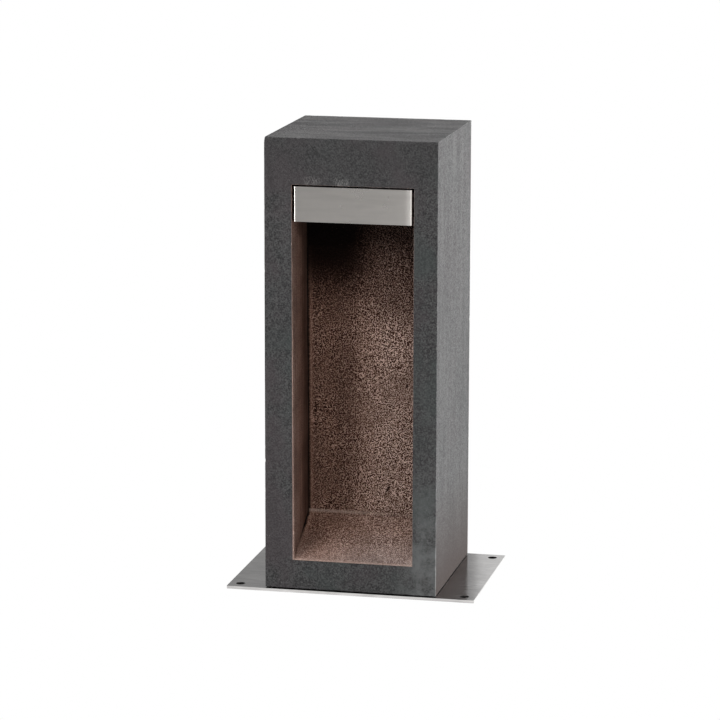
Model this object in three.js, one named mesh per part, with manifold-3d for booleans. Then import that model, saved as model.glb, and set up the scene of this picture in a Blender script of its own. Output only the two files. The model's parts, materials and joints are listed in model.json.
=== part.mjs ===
// Stone garden lantern: a block of dark stone with a tall niche, on a stainless steel base plate,
// with a stainless steel LED lamp head under the roof of the niche.
// Millimetres, +Z up. The origin is the centre of the base plate's underside. The niche faces -Y.

import * as THREE from "three";
import { ConvexGeometry } from "three/addons/geometries/ConvexGeometry.js";
import { RoundedBoxGeometry } from "three/addons/geometries/RoundedBoxGeometry.js";
import { mergeVertices } from "three/addons/utils/BufferGeometryUtils.js";
import Module from "manifold-3d";

// ---------------------------------------------------------------- driving dimensions

const PLATE = { width: 218, depth: 156, thickness: 2.5, cornerRadius: 1 };
const FIXING = { spacingX: 198, spacingY: 135, holeRadius: 4 };
const PAD = { thickness: 0.5, inset: 2, cornerRadius: 1 };
const STONE = { width: 150, depth: 150, height: 392, arris: 0.75 };
// The niche sits a little right of the block's centre. Its floor climbs from the front to the back.
const NICHE = { centreX: 1.75, width: 105.5, depth: 58, frontSill: 28.5, backSill: 58.75, top: 355.25 };

// Screws that hold the block on the plate, in glued-in anchors.
const BASE_SCREW = { spacing: 110, shank: 2, head: 4, headHeight: 2, length: 20, socket: 1.25 };
const ANCHOR = { outer: 4, inner: 2.3, length: 18 };

// The way of the supply: cord hole in the plate, pocket with the connector, bores up to the lamp head.
const CORD_HOLE_RADIUS = 8;
const PLATE_GROMMET = { bore: 4, collar: 10, collarHeight: 2, lip: 6, lipHeight: 4 };
const SERVICE = { x: 34.25, y: 33 };
const POCKET = { radius: 15, top: 98 };
const BORE_RADIUS = 8;
const CONNECTOR_BASE = 12;
const LEAD = { radius: 2.5, bend: 22 };

// The lamp head: a folded sheet box, open below, flush with the block's front.
const HEAD = { width: 102.5, depth: 55, height: 30, wall: 1.5, fold: 2, gap: 1.5 };
const HEAD_BASE = NICHE.top - HEAD.gap - HEAD.height;
const CORD_ENTRY_HEIGHT = 23;

// Heights of the stack in the lamp head, above the head's lower edge.
const STACK = {
  frame: 0,
  gasket: 1.5,
  glass: 2.75,
  reflector: 7,
  board: 14,
  pad: 15.5,
  carrier: 16,
  driver: 18,
  ceiling: HEAD.height - HEAD.wall,
};
const GLASS = { width: 82, depth: 45, thickness: 3 };
const WINDOW = { width: 76, depth: 40 };
const STACK_SCREWS = { x: 45, y: 20.5 };
const HOUSING_SCREW = { x: 45.5, shank: 2, head: 4, headHeight: 2.25, length: 21 };
const PLUG = { outer: 3, inner: 2.3, length: 22 };
const WASHER_RADIUS = 5.5;
// Room between pieces that go into each other, and how far a cutter runs past the face it cuts.
const FIT = 0.3;
const PAST = 1;

// Sides of round pieces by size, and steps of a rounded corner.
const WIDE_ROUND = 32;
const ROUND = 24;
const SMALL_ROUND = 16;
const FINE_ROUND = 12;
const WIRE_ROUND = 8;
const HEXAGON = 6;
const CORNER_STEPS = 4;

// ---------------------------------------------------------------- materials

function finish(color, roughness, metalness) {
  return new THREE.MeshStandardMaterial({ color, roughness, metalness });
}

const BRUSHED_STEEL = finish(0xb4b0aa, 0.35, 1);
const SCREW_STEEL = finish(0xc4c4c2, 0.3, 1);
const BASALT = finish(0x4a4a4b, 0.75, 0);
const BRASS = finish(0xb08d45, 0.4, 1);
const ALUMINIUM = finish(0xc9cbcd, 0.45, 1);
const BLACK_RUBBER = finish(0x17171a, 0.9, 0);
const SILICONE = finish(0xd9d7d2, 0.6, 0);
const BLACK_PLASTIC = finish(0x1c1d1f, 0.55, 0);
const GREY_PLASTIC = finish(0x8d9093, 0.55, 0);
const WHITE_PLASTIC = finish(0xe8e8e4, 0.5, 0);
const LEAD_BLACK = finish(0x141414, 0.6, 0);
const CORE_BROWN = finish(0x5b3420, 0.5, 0);
const CORE_BLUE = finish(0x1f4f9a, 0.5, 0);
const CORE_GREEN = finish(0x6f9a2a, 0.5, 0);
const CORE_RED = finish(0xa3211c, 0.5, 0);
const BOARD_WHITE = finish(0xe9ebe6, 0.45, 0);
const LED_YELLOW = finish(0xe6c64a, 0.35, 0);
const FROSTED_GLASS = finish(0xe6efee, 0.4, 0);

// ---------------------------------------------------------------- joining and cutting

const wasm = await Module();
wasm.setup();

function toSolid(geometry) {
  const bare = geometry.clone();
  bare.deleteAttribute("normal");
  bare.deleteAttribute("uv");
  const merged = mergeVertices(bare, 1e-4);
  return new wasm.Manifold(
    new wasm.Mesh({
      numProp: 3,
      vertProperties: merged.attributes.position.array,
      triVerts: new Uint32Array(merged.index.array),
    }),
  );
}

function toGeometry(solid) {
  const { vertProperties, triVerts } = solid.getMesh();
  const indexed = new THREE.BufferGeometry();
  indexed.setAttribute("position", new THREE.BufferAttribute(vertProperties, 3));
  indexed.setIndex(new THREE.BufferAttribute(triVerts, 1));
  const geometry = indexed.toNonIndexed();
  geometry.computeVertexNormals();
  return geometry;
}

function cut(geometry, tools) {
  return toGeometry(tools.reduce((left, tool) => left.subtract(toSolid(tool)), toSolid(geometry)));
}

function join(geometries) {
  return toGeometry(geometries.map(toSolid).reduce((whole, next) => whole.add(next)));
}

// ---------------------------------------------------------------- basic shapes, base at z = 0

function block(width, depth, height, x = 0, y = 0, z = 0) {
  return new THREE.BoxGeometry(width, depth, height).translate(x, y, z + height / 2);
}

function rod(radius, height, x = 0, y = 0, z = 0, segments = ROUND) {
  const geometry = new THREE.CylinderGeometry(radius, radius, height, segments);
  return geometry.rotateX(Math.PI / 2).translate(x, y, z + height / 2);
}

// A rod along Y that starts at y.
function rodAlongY(radius, length, x, y, z, segments = WIDE_ROUND) {
  const geometry = new THREE.CylinderGeometry(radius, radius, length, segments);
  return geometry.translate(x, y + length / 2, z);
}

// A round piece about Z, from [radius, height] points that start and end on the axis or close.
function turned(profile, segments = ROUND) {
  const points = profile.map(([radius, height]) => new THREE.Vector2(radius, height));
  return new THREE.LatheGeometry(points, segments).rotateX(Math.PI / 2);
}

// A ring about Z: its profile runs round a rectangle and closes on itself.
function ring(inner, outer, height, segments = ROUND) {
  const profile = [
    [inner, 0],
    [outer, 0],
    [outer, height],
    [inner, height],
    [inner, 0],
  ];
  return turned(profile, segments);
}

// Points along a round arc, both ends included.
function arcPoints(x, y, radius, start, end, steps) {
  const points = [];
  for (let step = 0; step <= steps; step++) {
    const angle = start + ((end - start) * step) / steps;
    points.push(new THREE.Vector2(x + radius * Math.cos(angle), y + radius * Math.sin(angle)));
  }
  return points;
}

// A flat sheet with rounded corners and round holes, each given as [x, y, radius].
function sheet(width, depth, thickness, cornerRadius, holes = [], holeSegments = ROUND) {
  const [x, y] = [width / 2 - cornerRadius, depth / 2 - cornerRadius];
  const quarter = Math.PI / 2;
  const centres = [[x, -y], [x, y], [-x, y], [-x, -y]];
  const outline = centres.flatMap(([cx, cy], index) => {
    const start = (index - 1) * quarter;
    return arcPoints(cx, cy, cornerRadius, start, start + quarter, CORNER_STEPS);
  });
  const shape = new THREE.Shape(outline);
  for (const [holeX, holeY, radius] of holes) {
    const edge = arcPoints(holeX, holeY, radius, 2 * Math.PI, 0, holeSegments).slice(1);
    shape.holes.push(new THREE.Path(edge));
  }
  return new THREE.ExtrudeGeometry(shape, { depth: thickness, bevelEnabled: false });
}

// A frustum with rectangular ends, from z = 0 to its height.
function taperedBlock(lower, upper, height) {
  const corners = [];
  for (const [sx, sy] of [[-1, -1], [1, -1], [1, 1], [-1, 1]]) {
    corners.push(new THREE.Vector3((sx * lower.width) / 2, (sy * lower.depth) / 2, 0));
    corners.push(new THREE.Vector3((sx * upper.width) / 2, (sy * upper.depth) / 2, height));
  }
  return new ConvexGeometry(corners);
}

// A round wire, lead or cord along a path.
function cordAlong(path, radius, steps) {
  const section = new THREE.Shape();
  section.absarc(0, 0, radius, 0, 2 * Math.PI);
  const options = { steps, extrudePath: path, curveSegments: WIRE_ROUND / 2 };
  return new THREE.ExtrudeGeometry(section, options);
}

function smoothPath(points) {
  return new THREE.CatmullRomCurve3(points.map((point) => new THREE.Vector3(...point)));
}

// The four corners of a rectangle about the origin, front ones first.
function corners(halfX, halfY) {
  return [[-halfX, -halfY], [halfX, -halfY], [-halfX, halfY], [halfX, halfY]];
}

// A countersunk screw with a hexagon socket: the head's flat face at z = 0, the shank upwards.
function countersunkScrew(screw) {
  const profile = [
    [0, 0],
    [screw.head, 0],
    [screw.shank, screw.headHeight],
    [screw.shank, screw.length - screw.shank / 2],
    [screw.shank / 2, screw.length],
    [0, screw.length],
  ];
  const body = turned(profile, SMALL_ROUND);
  const socketDepth = screw.headHeight * 0.75;
  return cut(body, [rod(screw.socket, socketDepth + PAST, 0, 0, -PAST, HEXAGON)]);
}

// A pan head screw with a hexagon socket: the head from z = 0 downwards and the shank upwards.
function panHeadScrew({ shank, head, headHeight, length }) {
  const tip = Math.min(shank, length / 2);
  const shoulder = headHeight * 0.6;
  const profile = [
    [0, -headHeight],
    [head * 0.7, -headHeight],
    [head, -shoulder],
    [head, 0],
    [shank, 0],
    [shank, length - tip],
    [shank * 0.3, length],
    [0, length],
  ];
  const body = turned(profile, SMALL_ROUND);
  const socket = rod(shank * 0.55, shoulder + PAST, 0, 0, -headHeight - PAST, HEXAGON);
  return cut(body, [socket]);
}

// ---------------------------------------------------------------- assembly groups

const lantern = new THREE.Group();
const base = new THREE.Group();
const connector = new THREE.Group();
const head = new THREE.Group();
lantern.add(base, connector, head);
connector.position.set(SERVICE.x, SERVICE.y, CONNECTOR_BASE);
head.position.set(NICHE.centreX, -STONE.depth / 2 + HEAD.depth / 2, HEAD_BASE);

function place(group, name, geometry, material, x = 0, y = 0, z = 0) {
  const mesh = new THREE.Mesh(geometry, material);
  mesh.name = name;
  mesh.position.set(x, y, z);
  group.add(mesh);
  return mesh;
}

// ---------------------------------------------------------------- base

const STONE_BASE = PLATE.thickness + PAD.thickness;
const STONE_TOP = STONE_BASE + STONE.height;
const BASE_SCREWS = corners(BASE_SCREW.spacing / 2, BASE_SCREW.spacing / 2);
const UNDERSIDE_RECESS = 0.25;

function makeBasePlate() {
  const fixingHoles = corners(FIXING.spacingX / 2, FIXING.spacingY / 2);
  const holes = fixingHoles.map(([x, y]) => [x, y, FIXING.holeRadius]);
  holes.push([SERVICE.x, SERVICE.y, CORD_HOLE_RADIUS]);
  BASE_SCREWS.forEach(([x, y]) => holes.push([x, y, BASE_SCREW.shank + FIT]));
  const plate = sheet(PLATE.width, PLATE.depth, PLATE.thickness, PLATE.cornerRadius, holes);
  // Countersinks on the underside, a little deeper than the screw heads.
  const rim = BASE_SCREW.head + 2 * FIT;
  const sinkDepth = rim - BASE_SCREW.shank - FIT;
  const sinkProfile = [
    [0, -PAST],
    [rim, -PAST],
    [rim, 0],
    [BASE_SCREW.shank + FIT, sinkDepth],
    [0, sinkDepth],
  ];
  const sinks = BASE_SCREWS.map(([x, y]) => turned(sinkProfile).translate(x, y, 0));
  return cut(plate, sinks);
}

function makeBasePad() {
  const holes = BASE_SCREWS.map(([x, y]) => [x, y, ANCHOR.outer + 1]);
  holes.push([SERVICE.x, SERVICE.y, POCKET.radius]);
  const side = STONE.width - 2 * PAD.inset;
  return sheet(side, side, PAD.thickness, PAD.cornerRadius, holes);
}

// The niche as a solid: its side outline, drawn past the front face, extruded across the niche.
function nicheSpace() {
  const front = -STONE.depth / 2;
  const back = front + NICHE.depth;
  const slope = (NICHE.backSill - NICHE.frontSill) / NICHE.depth;
  const outline = new THREE.Shape();
  outline.moveTo(front - PAST, NICHE.frontSill - PAST * slope);
  outline.lineTo(back, NICHE.backSill);
  outline.lineTo(back, NICHE.top);
  outline.lineTo(front - PAST, NICHE.top);
  outline.closePath();
  const options = { depth: NICHE.width, bevelEnabled: false };
  const space = new THREE.ExtrudeGeometry(outline, options);
  // The outline's (x, y) become (Y, Z), and the extrusion runs along X.
  const turn = new THREE.Matrix4().set(0, 0, 1, 0, 1, 0, 0, 0, 0, 1, 0, 0, 0, 0, 0, 1);
  space.applyMatrix4(turn);
  return space.translate(NICHE.centreX - NICHE.width / 2, 0, 0);
}

// Drilled holes are this much deeper than the anchor or plug in them.
const DRILL_ROOM = 3;

function makeStone() {
  const { width, depth, height, arris } = STONE;
  const whole = new RoundedBoxGeometry(width, depth, height, 2, arris);
  whole.translate(0, 0, STONE_BASE + height / 2);
  const nicheBack = -depth / 2 + NICHE.depth;
  const entry = HEAD_BASE + CORD_ENTRY_HEIGHT;
  // The cross bore lies lower than the lead, which rounds the corner on the outside.
  const crossBore = entry - (BORE_RADIUS - LEAD.radius) + 0.5;
  const rise = crossBore - POCKET.top + PAST;
  const run = SERVICE.y - nicheBack + BORE_RADIUS / 2;
  const tools = [
    nicheSpace(),
    rod(POCKET.radius, POCKET.top, SERVICE.x, SERVICE.y, 0, WIDE_ROUND),
    rod(BORE_RADIUS, rise, SERVICE.x, SERVICE.y, POCKET.top - PAST, WIDE_ROUND),
    rodAlongY(BORE_RADIUS, run, SERVICE.x, nicheBack - BORE_RADIUS / 2, crossBore),
  ];
  for (const [x, y] of BASE_SCREWS) {
    const drilled = ANCHOR.length + DRILL_ROOM + PAST;
    tools.push(rod(ANCHOR.outer + FIT, drilled, x, y, STONE_BASE - PAST, SMALL_ROUND));
  }
  for (const side of [-1, 1]) {
    const x = NICHE.centreX + side * HOUSING_SCREW.x;
    const drilled = PLUG.length + DRILL_ROOM + PAST;
    tools.push(rod(PLUG.outer + FIT, drilled, x, head.position.y, NICHE.top - PAST, SMALL_ROUND));
  }
  return cut(whole, tools);
}

place(base, "base_plate", makeBasePlate(), BRUSHED_STEEL);
place(base, "base_gasket", makeBasePad(), BLACK_RUBBER, 0, 0, PLATE.thickness);
place(base, "stone_body", makeStone(), BASALT);

BASE_SCREWS.forEach(([x, y], index) => {
  const number = index + 1;
  place(base, `base_screw_${number}`, countersunkScrew(BASE_SCREW), SCREW_STEEL, x, y, UNDERSIDE_RECESS);
  const anchor = ring(ANCHOR.inner, ANCHOR.outer, ANCHOR.length, SMALL_ROUND);
  place(base, `stone_anchor_${number}`, anchor, BRASS, x, y, STONE_BASE);
});

// A rubber bush in the plate's cord hole: its collar lies on the plate, inside the block's pocket.
function makePlateGrommet() {
  const { bore, collar, collarHeight, lip, lipHeight } = PLATE_GROMMET;
  const neck = CORD_HOLE_RADIUS - FIT;
  return turned([
    [bore, UNDERSIDE_RECESS],
    [neck, UNDERSIDE_RECESS],
    [neck, PLATE.thickness],
    [collar, PLATE.thickness],
    [collar, PLATE.thickness + collarHeight],
    [lip, PLATE.thickness + lipHeight],
    [bore, PLATE.thickness + lipHeight],
    [bore, UNDERSIDE_RECESS],
  ]);
}

place(base, "plate_grommet", makePlateGrommet(), BLACK_RUBBER, SERVICE.x, SERVICE.y);

// ---------------------------------------------------------------- connector in the block's pocket

const CONNECTOR = { nutRadius: 13, nutLength: 15, wall: 2, seal: 4 };
const BARREL = { radius: 12.5, length: 60, bore: 9 };
const NECK = { radius: 11, length: 10 };
const CORD_OPENING = 4;
const TERMINAL_BLOCK = { side: 12, length: 30, wayRadius: 1.25, waySpacing: 3.5 };

// A cap nut whose end wall, with the cord's opening, is at z = 0.
function capNut(opening) {
  const { nutRadius, nutLength, wall } = CONNECTOR;
  const inside = NECK.radius + FIT;
  return turned([
    [opening, 0],
    [nutRadius - 1, 0],
    [nutRadius, 1],
    [nutRadius, nutLength],
    [inside, nutLength],
    [inside, wall],
    [opening, wall],
    [opening, 0],
  ]);
}

function makeConnectorBody() {
  const { radius, length, bore } = BARREL;
  return turned([
    [bore, 0],
    [NECK.radius, 0],
    [NECK.radius, NECK.length],
    [radius, NECK.length],
    [radius, length - NECK.length],
    [NECK.radius, length - NECK.length],
    [NECK.radius, length],
    [bore, length],
    [bore, 0],
  ]);
}

const bodyStart = CONNECTOR.wall + CONNECTOR.seal;
const connectorLength = BARREL.length + 2 * bodyStart;
const leadOpening = LEAD.radius + FIT;
const sealRadius = NECK.radius - FIT;
const terminalStart = bodyStart + (BARREL.length - TERMINAL_BLOCK.length) / 2;

// Three wire ways run through the terminal block.
function makeTerminalBlock() {
  const { side, length, wayRadius, waySpacing } = TERMINAL_BLOCK;
  const through = length + 2 * PAST;
  const ways = [-1, 0, 1].map((n) => rod(wayRadius, through, n * waySpacing, 0, -PAST, FINE_ROUND));
  return cut(block(side, side, length), ways);
}

const upperNut = capNut(leadOpening).rotateX(Math.PI);
const lowerSeal = ring(CORD_OPENING, sealRadius, CONNECTOR.seal);
const upperSeal = ring(leadOpening, sealRadius, CONNECTOR.seal);
const upperSealStart = connectorLength - bodyStart;
place(connector, "connector_body", makeConnectorBody(), BLACK_PLASTIC, 0, 0, bodyStart);
place(connector, "connector_nut_lower", capNut(CORD_OPENING), BLACK_PLASTIC);
place(connector, "connector_nut_upper", upperNut, BLACK_PLASTIC, 0, 0, connectorLength);
place(connector, "connector_seal_lower", lowerSeal, SILICONE, 0, 0, CONNECTOR.wall);
place(connector, "connector_seal_upper", upperSeal, SILICONE, 0, 0, upperSealStart);
place(connector, "terminal_block", makeTerminalBlock(), GREY_PLASTIC, 0, 0, terminalStart);

// ---------------------------------------------------------------- lead from the connector to the head

const LEAD_HEIGHT = HEAD_BASE + CORD_ENTRY_HEIGHT;
const LEAD_START = CONNECTOR_BASE + terminalStart + TERMINAL_BLOCK.length + 1;
const LEAD_END = -36;
const LEAD_STEPS = 48;

// Up the bore, round a quarter turn and forward into the lamp head.
class LeadPath extends THREE.Curve {
  constructor() {
    super();
    this.rise = LEAD_HEIGHT - LEAD.bend - LEAD_START;
    this.quarter = (LEAD.bend * Math.PI) / 2;
    this.run = SERVICE.y - LEAD.bend - LEAD_END;
  }

  getPoint(t, target = new THREE.Vector3()) {
    const along = t * (this.rise + this.quarter + this.run);
    const { x, y } = SERVICE;
    if (along <= this.rise) {
      return target.set(x, y, LEAD_START + along);
    }
    if (along <= this.rise + this.quarter) {
      const angle = (along - this.rise) / LEAD.bend;
      const forward = LEAD.bend * (1 - Math.cos(angle));
      return target.set(x, y - forward, LEAD_HEIGHT - LEAD.bend * (1 - Math.sin(angle)));
    }
    const forward = along - this.rise - this.quarter;
    return target.set(x, y - LEAD.bend - forward, LEAD_HEIGHT);
  }
}

place(lantern, "internal_lead", cordAlong(new LeadPath(), LEAD.radius, LEAD_STEPS), LEAD_BLACK);

// ---------------------------------------------------------------- lamp head
// In the head's own frame x = 0 and y = 0 are the middle of the box and z = 0 is its lower edge.

const INSIDE = { width: HEAD.width - 2 * HEAD.wall, depth: HEAD.depth - 2 * HEAD.wall };
const HOUSING_SCREWS = [["left", -HOUSING_SCREW.x], ["right", HOUSING_SCREW.x]];
const ENTRY = { x: SERVICE.x - NICHE.centreX, radius: 4.25, collar: 5.2, collarThickness: 1.5 };
const HEAD_BACK = HEAD.depth / 2;

function makeHousing() {
  const outer = sheet(HEAD.width, HEAD.depth, HEAD.height, HEAD.fold);
  const inner = sheet(INSIDE.width, INSIDE.depth, STACK.ceiling + PAST, HEAD.fold - HEAD.wall);
  const through = HEAD.wall + 2 * PAST;
  const entryStart = HEAD_BACK - HEAD.wall - PAST;
  const tools = [
    inner.translate(0, 0, -PAST),
    rodAlongY(ENTRY.radius, through, ENTRY.x, entryStart, CORD_ENTRY_HEIGHT, ROUND),
  ];
  for (const [, x] of HOUSING_SCREWS) {
    tools.push(rod(HOUSING_SCREW.shank + FIT, through, x, 0, STACK.ceiling - PAST));
  }
  return cut(outer, tools);
}

place(head, "head_housing", makeHousing(), BRUSHED_STEEL);

for (const [side, x] of HOUSING_SCREWS) {
  const screw = panHeadScrew(HOUSING_SCREW);
  const washer = ring(HOUSING_SCREW.shank + FIT, WASHER_RADIUS, HEAD.gap);
  const plug = ring(PLUG.inner, PLUG.outer, PLUG.length, SMALL_ROUND);
  place(head, `housing_screw_${side}`, screw, SCREW_STEEL, x, 0, STACK.ceiling);
  place(head, `sealing_washer_${side}`, washer, BLACK_RUBBER, x, 0, HEAD.height);
  place(head, `wall_plug_${side}`, plug, GREY_PLASTIC, x, 0, HEAD.height + HEAD.gap);
}

// The bush in the head's back wall, with a collar on each side of the sheet, turned about Y.
function makeHeadGrommet() {
  const { radius, collar, collarThickness } = ENTRY;
  const neck = radius - FIT;
  const sheetEnd = collarThickness + HEAD.wall;
  const end = sheetEnd + collarThickness;
  const profile = [
    [leadOpening, 0],
    [collar, 0],
    [collar, collarThickness],
    [neck, collarThickness],
    [neck, sheetEnd],
    [collar, sheetEnd],
    [collar, end],
    [leadOpening, end],
    [leadOpening, 0],
  ];
  return turned(profile).rotateX(-Math.PI / 2);
}

const grommetStart = HEAD_BACK - HEAD.wall - ENTRY.collarThickness;
place(head, "head_grommet", makeHeadGrommet(), BLACK_RUBBER, ENTRY.x, grommetStart, CORD_ENTRY_HEIGHT);

// Carrier plate: the heat spreader that everything electric sits on.
const CARRIER = { width: 98, depth: 47, thickness: STACK.driver - STACK.carrier, cornerRadius: 2 };
const WIRE_SLOT = { x: -28, y: 16, width: 10, depth: 5 };
const FRAME_SCREW = { shank: 1.5, head: 2.9, headHeight: 1.4, length: 24, socket: 1.1 };

// The cord clamp is a saddle with a foot on each side of its arch, each screwed down.
const CLAMP = { y: 19, width: 16.8, footHeight: 2, arch: 8, depth: 6, height: 8.5 };
const CLAMP_SCREW = { x: 6.2, shank: 1.25, head: 2, headHeight: 1.5, length: 3.75 };

// The earth lug: an eye of this side length with a tail, held by a screw.
const EARTH = { x: 39, y: -8 };
const LUG = { side: 7, corner: 3.4, thickness: 0.75, tailWidth: 3, tailLength: 7, tailY: 6 };
const EARTH_SCREW = { shank: 1.5, head: 2.75, headHeight: 2, length: 2.5 };

function makeCarrier() {
  const holes = corners(STACK_SCREWS.x, STACK_SCREWS.y).map(([x, y]) => [x, y, FRAME_SCREW.shank + FIT]);
  for (const side of [-1, 1]) {
    holes.push([ENTRY.x + side * CLAMP_SCREW.x, CLAMP.y, CLAMP_SCREW.shank + FIT]);
  }
  holes.push([EARTH.x, EARTH.y, EARTH_SCREW.shank + FIT]);
  const { width, depth, thickness, cornerRadius } = CARRIER;
  const plate = sheet(width, depth, thickness, cornerRadius, holes);
  const slotHeight = thickness + 2 * PAST;
  return cut(plate, [block(WIRE_SLOT.width, WIRE_SLOT.depth, slotHeight, WIRE_SLOT.x, WIRE_SLOT.y, -PAST)]);
}

place(head, "carrier_plate", makeCarrier(), ALUMINIUM, 0, 0, STACK.carrier);

function makeClamp() {
  const { width, footHeight, arch, depth, height } = CLAMP;
  const leadLevel = CORD_ENTRY_HEIGHT - STACK.driver;
  const feet = block(width, depth, footHeight);
  const saddle = block(arch, depth, height);
  const tools = [rodAlongY(leadOpening, depth + 2 * PAST, 0, -depth / 2 - PAST, leadLevel, ROUND)];
  for (const side of [-1, 1]) {
    const radius = CLAMP_SCREW.shank + FIT;
    tools.push(rod(radius, footHeight + 2 * PAST, side * CLAMP_SCREW.x, 0, -PAST, SMALL_ROUND));
  }
  return cut(join([feet, saddle]), tools);
}

place(head, "cord_clamp", makeClamp(), BLACK_PLASTIC, ENTRY.x, CLAMP.y, STACK.driver);

for (const [side, sign] of [["left", -1], ["right", 1]]) {
  const screw = panHeadScrew(CLAMP_SCREW).rotateX(Math.PI);
  const x = ENTRY.x + sign * CLAMP_SCREW.x;
  place(head, `clamp_screw_${side}`, screw, SCREW_STEEL, x, CLAMP.y, STACK.driver + CLAMP.footHeight);
}

function makeEarthLug() {
  const hole = [0, 0, EARTH_SCREW.shank + FIT];
  const eye = sheet(LUG.side, LUG.side, LUG.thickness, LUG.corner, [hole], SMALL_ROUND);
  return join([eye, block(LUG.tailWidth, LUG.tailLength, LUG.thickness, 0, LUG.tailY)]);
}

const earthScrew = panHeadScrew(EARTH_SCREW).rotateX(Math.PI);
place(head, "earth_lug", makeEarthLug(), BRASS, EARTH.x, EARTH.y, STACK.driver);
place(head, "earth_screw", earthScrew, BRASS, EARTH.x, EARTH.y, STACK.driver + LUG.thickness);

// LED driver, board, pad and light sources.
const DRIVER = { width: 60, depth: 26, height: 10, x: -11, edge: 1 };
const BOARD = { width: 80, depth: 24, thickness: STACK.pad - STACK.board, cornerRadius: 1 };
const THERMAL_PAD = { width: 66, depth: 20 };
const LED = { count: 6, pitch: 10, side: 3, height: 0.75 };

const driverBox = new RoundedBoxGeometry(DRIVER.width, DRIVER.depth, DRIVER.height, 1, DRIVER.edge);
driverBox.translate(0, 0, DRIVER.height / 2);
place(head, "led_driver", driverBox, WHITE_PLASTIC, DRIVER.x, 0, STACK.driver);
const thermalPad = block(THERMAL_PAD.width, THERMAL_PAD.depth, STACK.carrier - STACK.pad);
place(head, "thermal_pad", thermalPad, GREY_PLASTIC, 0, 0, STACK.pad);
const board = sheet(BOARD.width, BOARD.depth, BOARD.thickness, BOARD.cornerRadius);
place(head, "led_board", board, BOARD_WHITE, 0, 0, STACK.board);

for (let number = 1; number <= LED.count; number++) {
  const x = (number - (LED.count + 1) / 2) * LED.pitch;
  const chip = block(LED.side, LED.side, LED.height);
  place(head, `led_chip_${number}`, chip, LED_YELLOW, x, 0, STACK.board - LED.height);
}

// Reflector: a tapered tray, open above for the board and below for the light, with a flange.
const REFLECTOR = { wall: 1, topWidth: 64, topDepth: 12, flangeMargin: 1.75 };

function makeReflector() {
  const { wall, topWidth, topDepth, flangeMargin } = REFLECTOR;
  const height = STACK.board - STACK.reflector;
  const grown = ({ width, depth }) => ({ width: width + 2 * wall, depth: depth + 2 * wall });
  const upper = { width: topWidth, depth: topDepth };
  const flange = block(GLASS.width + 2 * flangeMargin, GLASS.depth + 2 * flangeMargin, wall);
  const outside = taperedBlock(grown(WINDOW), grown(upper), height);
  const hollow = taperedBlock(WINDOW, upper, height);
  const below = block(WINDOW.width, WINDOW.depth, PAST, 0, 0, -PAST);
  const above = block(upper.width, upper.depth, PAST, 0, 0, height);
  return cut(join([flange, outside]), [hollow, below, above]);
}

place(head, "reflector", makeReflector(), BOARD_WHITE, 0, 0, STACK.reflector);

// The glass in its U-shaped gasket, on the window frame.
const LENS_GASKET = { margin: 2, cornerRadius: 3, openingRadius: 1 };
const LENS_FRAME = { cornerRadius: 1, openingRadius: 3 };

function makeLensGasket() {
  const { margin, cornerRadius, openingRadius } = LENS_GASKET;
  const height = STACK.reflector - STACK.gasket;
  const body = sheet(GLASS.width + 2 * margin, GLASS.depth + 2 * margin, height, cornerRadius);
  const opening = sheet(WINDOW.width, WINDOW.depth, height + 2 * PAST, openingRadius);
  const groove = block(GLASS.width, GLASS.depth, GLASS.thickness);
  groove.translate(0, 0, STACK.glass - STACK.gasket);
  return cut(body, [opening.translate(0, 0, -PAST), groove]);
}

// The frame's screw holes are cones through its whole thickness.
function makeLensFrame() {
  const { cornerRadius, openingRadius } = LENS_FRAME;
  const [width, depth] = [INSIDE.width - 2 * FIT, INSIDE.depth - 2 * FIT];
  const plate = sheet(width, depth, STACK.gasket, cornerRadius);
  const opening = sheet(WINDOW.width, WINDOW.depth, STACK.gasket + 2 * PAST, openingRadius);
  const rim = FRAME_SCREW.head + 2 * FIT;
  const sinkDepth = rim - FRAME_SCREW.shank - FIT;
  const profile = [
    [0, -PAST],
    [rim, -PAST],
    [rim, 0],
    [FRAME_SCREW.shank + FIT, sinkDepth],
    [0, sinkDepth],
  ];
  const screws = corners(STACK_SCREWS.x, STACK_SCREWS.y);
  const sinks = screws.map(([x, y]) => turned(profile).translate(x, y, 0));
  return cut(plate, [opening.translate(0, 0, -PAST), ...sinks]);
}

place(head, "lens_frame", makeLensFrame(), BRUSHED_STEEL, 0, 0, STACK.frame);
place(head, "lens_gasket", makeLensGasket(), SILICONE, 0, 0, STACK.gasket);
const glass = block(GLASS.width, GLASS.depth, GLASS.thickness);
place(head, "lens_glass", glass, FROSTED_GLASS, 0, 0, STACK.glass);

// Four long screws pull frame, gasket, reflector, board and carrier against the standoffs.
const STANDOFF_RADIUS = 3;
const FRAME_SCREW_RECESS = 0.1;

function makeStandoff() {
  const height = STACK.ceiling - STACK.driver;
  const thread = rod(FRAME_SCREW.shank + FIT, height - PAST, 0, 0, -PAST, SMALL_ROUND);
  return cut(rod(STANDOFF_RADIUS, height, 0, 0, 0, HEXAGON), [thread]);
}

corners(STACK_SCREWS.x, STACK_SCREWS.y).forEach(([x, y], index) => {
  const number = index + 1;
  const screw = countersunkScrew(FRAME_SCREW);
  place(head, `standoff_${number}`, makeStandoff(), SCREW_STEEL, x, y, STACK.driver);
  place(head, `frame_screw_${number}`, screw, SCREW_STEEL, x, y, FRAME_SCREW_RECESS);
});

// ---------------------------------------------------------------- wires in the lamp head

const WIRE_RADIUS = 0.7;
const WIRE_STEPS = 14;
// The cores leave the sheath at these places across it, as [x, z] from its middle.
const CORES = { live: [-0.9, 1.1], neutral: [-0.9, -1.1], earth: [1.3, 0] };
const LED_WIRES = { plus: WIRE_SLOT.x - 2, minus: WIRE_SLOT.x + 2 };
const coreStartY = LEAD_END - head.position.y - FIT;
const driverEnd = DRIVER.x + DRIVER.width / 2 + FIT;

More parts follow.
